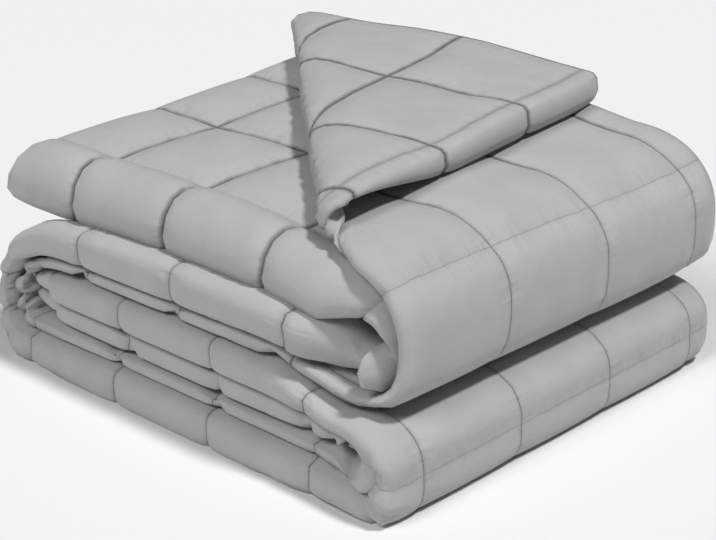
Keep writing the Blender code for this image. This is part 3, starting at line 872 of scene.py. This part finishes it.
def cloth_material():
    """Brushed grey microfibre, with thin stitched seams, painted shade in and beside their grooves,
    puckers beside them and a fine grain.
    """
    material = bpy.data.materials.new("grey_microfibre")
    material.use_nodes = True
    nodes = Nodes(material)
    shader = material.node_tree.nodes["Principled BSDF"]
    uv = nodes.add("ShaderNodeUVMap", [("uv_map", UV_NAME)]).outputs[0]
    split = nodes.add("ShaderNodeSeparateXYZ", (), [("Vector", uv)])
    along, across = split.outputs[0], split.outputs[1]

    wander = nodes.noise(uv, *WANDER_NOISE)
    wander = nodes.math("MULTIPLY_ADD", wander, SEAM_WANDER, -SEAM_WANDER / 2)
    seam_along = from_seam(nodes, nodes.math("ADD", along, wander), 0.0)
    seam_across = from_seam(nodes, nodes.math("ADD", across, wander), BORDER)
    strong_along = strength(nodes, along, FAINT_ALONG)
    strong_across = strength(nodes, across, FAINT_ACROSS)

    def painted_groove_shade(width):
        """The seams' painted shade, from 1 at a seam's middle to 0 this far from it."""
        on_seam_along = nodes.ramp(seam_along, SEAM_LINE / 2, width, 1.0, 0.0)
        on_seam_across = nodes.ramp(seam_across, SEAM_LINE / 2, width, 1.0, 0.0)
        first = nodes.math("MULTIPLY", on_seam_along, strong_along)
        return nodes.math("MAXIMUM", first, nodes.math("MULTIPLY", on_seam_across, strong_across))

    line = painted_groove_shade(SEAM_LINE)
    shade = painted_groove_shade(SEAM_SHADE)

    # Stitches follow their seam, so the place that counts them is the one that runs along it.
    on_along = nodes.math("LESS_THAN", seam_along, seam_across)
    run = nodes.add("ShaderNodeMix", (), [(0, on_along), (2, along), (3, across)]).outputs[0]
    dash = nodes.math("FRACT", nodes.math("DIVIDE", run, STITCH))
    thread = nodes.math("MULTIPLY", line, nodes.ramp(dash, *STITCH_THREAD, 1.0, 0.0))

    grain = nodes.noise(uv, *GRAIN_NOISE)
    weave_along = nodes.math("SINE", nodes.math("MULTIPLY", along, 2 * np.pi / THREAD))
    weave_across = nodes.math("SINE", nodes.math("MULTIPLY", across, 2 * np.pi / THREAD))
    weave = nodes.math("MULTIPLY", weave_along, weave_across)
    mottle = nodes.noise(uv, *MOTTLE_NOISE)

    base = nodes.colour(nodes.ramp(mottle, *MOTTLE_PART), CLOTH_DARK, CLOTH_LIGHT)
    base = nodes.colour(nodes.ramp(grain, *GRAIN_PART), base, GRAIN_LIGHT)
    # Painted shade of the seams' grooves: a dark line in each groove and a softer shade beside it,
    # darker on the deeper seams on top of the block.
    deep = nodes.ramp(along, *(place * SQUARE for place in DEEP_SEAMS), 1.0, 0.0)
    for drawing, (everywhere, deeper) in ((shade, SHADE_DARK), (line, LINE_DARK)):
        dark = nodes.math("MULTIPLY", drawing, nodes.math("MULTIPLY_ADD", deep, deeper, everywhere))
        base = nodes.colour(dark, base, GROOVE_SHADE_PAINT)
    base = nodes.colour(nodes.math("MULTIPLY", thread, THREAD_LIGHT), base, CLOTH_LIGHT)

    # Puckers lie square to their seam, so their noise is stretched away from it.
    fine_across = nodes.vector(nodes.math("MULTIPLY", along, PUCKER_SLIM), across)
    fine_along = nodes.vector(along, nodes.math("MULTIPLY", across, PUCKER_SLIM))
    first = puckers_beside(nodes, seam_along, fine_across)
    puckers = nodes.math("ADD", first, puckers_beside(nodes, seam_across, fine_along))
    stitches = nodes.math("SUBTRACT", nodes.math("MULTIPLY", thread, STITCH_RAISED), line)
    fine = nodes.math("ADD", grain, nodes.math("MULTIPLY", weave, THREAD_RELIEF))

    normal = nodes.bump(nodes.noise(uv, *SOFT_NOISE), *SOFT_RELIEF)
    normal = nodes.bump(puckers, *PUCKER_RELIEF, normal)
    normal = nodes.bump(stitches, *SEAM_RELIEF, normal)
    normal = nodes.bump(fine, *GRAIN_RELIEF, normal)
    links = material.node_tree.links
    links.new(base, shader.inputs["Base Color"])
    links.new(normal, shader.inputs["Normal"])
    shader.inputs["Roughness"].default_value = ROUGHNESS
    shader.inputs["Specular IOR Level"].default_value = SPECULAR
    shader.inputs["Sheen Weight"].default_value = SHEEN
    shader.inputs["Sheen Roughness"].default_value = SHEEN_ROUGHNESS
    return material


def add_floor():
    """A pale floor for the render alone."""
    mesh = bpy.data.meshes.new("floor")
    corners = [(-1, -1), (1, -1), (1, 1), (-1, 1)]
    places = [(x * FLOOR_HALF, y * FLOOR_HALF, 0.0) for x, y in corners]
    mesh.from_pydata(places, [], [(0, 1, 2, 3)])
    floor = bpy.data.objects.new("floor", mesh)
    bpy.context.scene.collection.objects.link(floor)
    material = bpy.data.materials.new("pale_floor")
    material.use_nodes = True
    shader = material.node_tree.nodes["Principled BSDF"]
    shader.inputs["Base Color"].default_value = FLOOR_COLOUR
    shader.inputs["Roughness"].default_value = FLOOR_ROUGHNESS
    mesh.materials.append(material)


def add_light(name, towards, wide, strength):
    """A far, even light that stands in this direction and is this many degrees wide."""
    data = bpy.data.lights.new(name, "SUN")
    data.angle = np.radians(wide)
    data.energy = strength
    light = bpy.data.objects.new(name, data)
    light.rotation_euler = Vector(towards).to_track_quat("Z", "Y").to_euler()
    bpy.context.scene.collection.objects.link(light)


def add_world():
    """An even, weak white light from all round."""
    world = bpy.data.worlds.new("studio")
    bpy.context.scene.world = world
    world.use_nodes = True
    background = world.node_tree.nodes["Background"]
    background.inputs["Color"].default_value = (1, 1, 1, 1)
    background.inputs["Strength"].default_value = WORLD_STRENGTH


def add_camera():
    """The photograph's camera, as fitted to the blanket's corners and seam crossings."""
    azimuth, elevation, roll = np.radians(CAMERA_TURNS)
    back = Vector((
        np.sin(azimuth) * np.cos(elevation),
        -np.cos(azimuth) * np.cos(elevation),
        np.sin(elevation),
    ))
    level = Vector((np.cos(azimuth), np.sin(azimuth), 0.0))
    upright = back.cross(level)
    right = level * np.cos(roll) + upright * np.sin(roll)
    up = upright * np.cos(roll) - level * np.sin(roll)
    place = Vector(CAMERA_AT) - Vector(BLOCK_CENTRE)
    data = bpy.data.cameras.new("camera")
    data.lens = LENS
    data.sensor_width = SENSOR
    camera = bpy.data.objects.new("camera", data)
    camera.matrix_world = Matrix((
        (right.x, up.x, back.x, place.x),
        (right.y, up.y, back.y, place.y),
        (right.z, up.z, back.z, place.z),
        (0, 0, 0, 1),
    ))
    bpy.context.scene.collection.objects.link(camera)
    bpy.context.scene.camera = camera


blanket = bpy.data.objects.new("quilted_cloth", build_mesh("quilted_cloth"))
bpy.context.scene.collection.objects.link(blanket)
blanket.data.materials.append(cloth_material())
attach(blanket, "root")
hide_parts("folded_blanket")

add_floor()
add_light("key", *KEY)
add_light("fill", *FILL)
add_world()
add_camera()
bpy.context.scene.view_settings.view_transform = "Standard"
